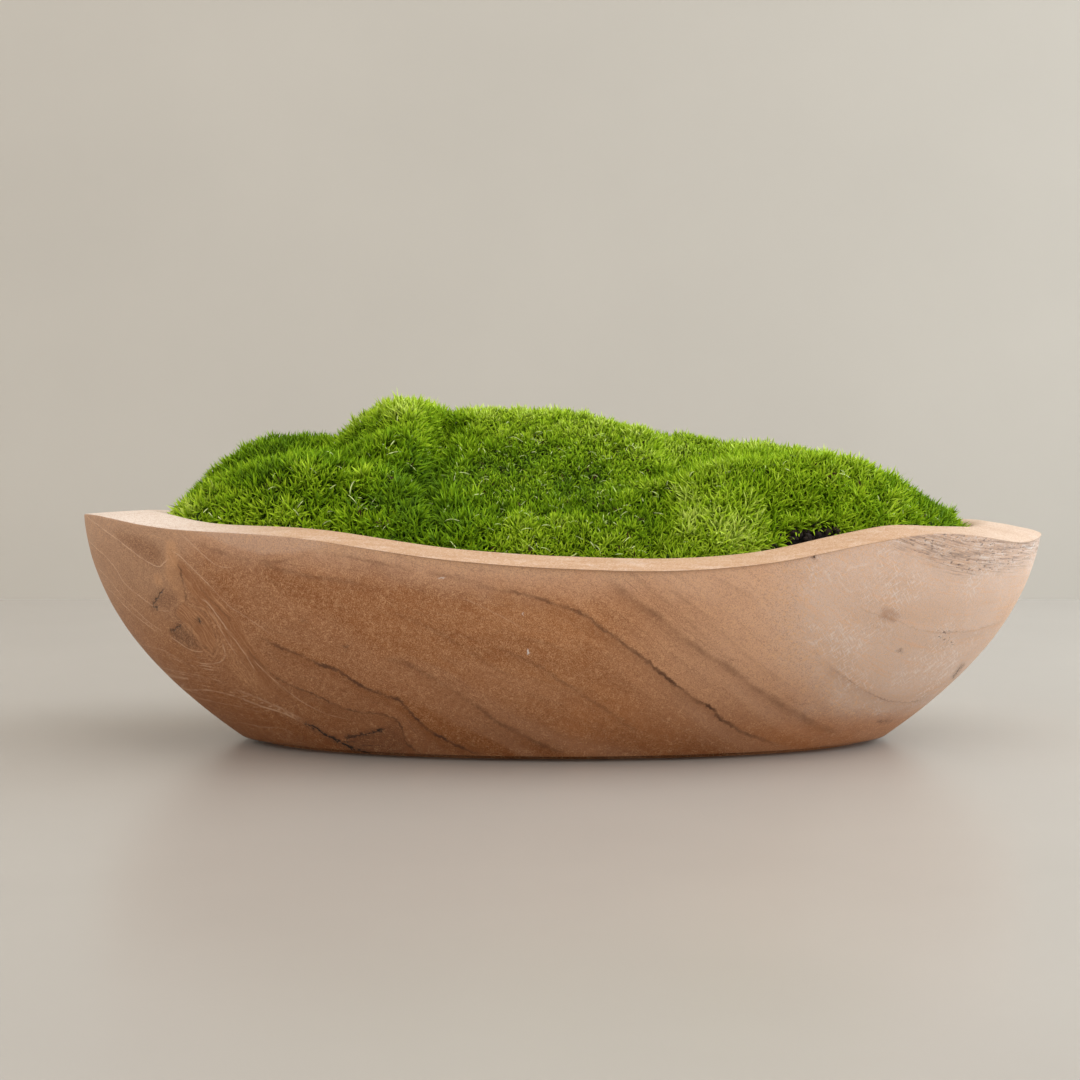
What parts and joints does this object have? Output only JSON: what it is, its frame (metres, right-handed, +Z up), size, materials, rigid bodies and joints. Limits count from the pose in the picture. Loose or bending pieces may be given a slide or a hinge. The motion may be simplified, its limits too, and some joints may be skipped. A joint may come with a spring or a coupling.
{
  "type": "moss bowl garden",
  "caption": "Low garden of green cushion moss on dark soil in a long, thick-walled, hand-carved wooden bowl with a wavy rim and a flat base",
  "frame": {"origin": "on the surface that the bowl stands on, under the middle of the whole object's box", "axes": "+X along the bowl towards its right-hand tip, -Y towards the viewer, +Z up"},
  "size_m": [0.4981, 0.2467, 0.1798],
  "materials": {
    "carved_wood": "dry, lightly oiled, carved",
    "dark_soil": "loose and matt",
    "green_moss": "soft and leafy"
  },
  "bodies": {
    "root": {"bowl": "carved_wood", "soil_bed": "dark_soil", "moss_peak": "green_moss", "moss_back_ridge": "green_moss", "moss_middle_slope": "green_moss", "moss_left_back": "green_moss", "moss_left_front": "green_moss", "moss_front_tuft": "green_moss", "moss_right_back": "green_moss", "moss_right_front": "green_moss"}
  },
  "joints": []
}
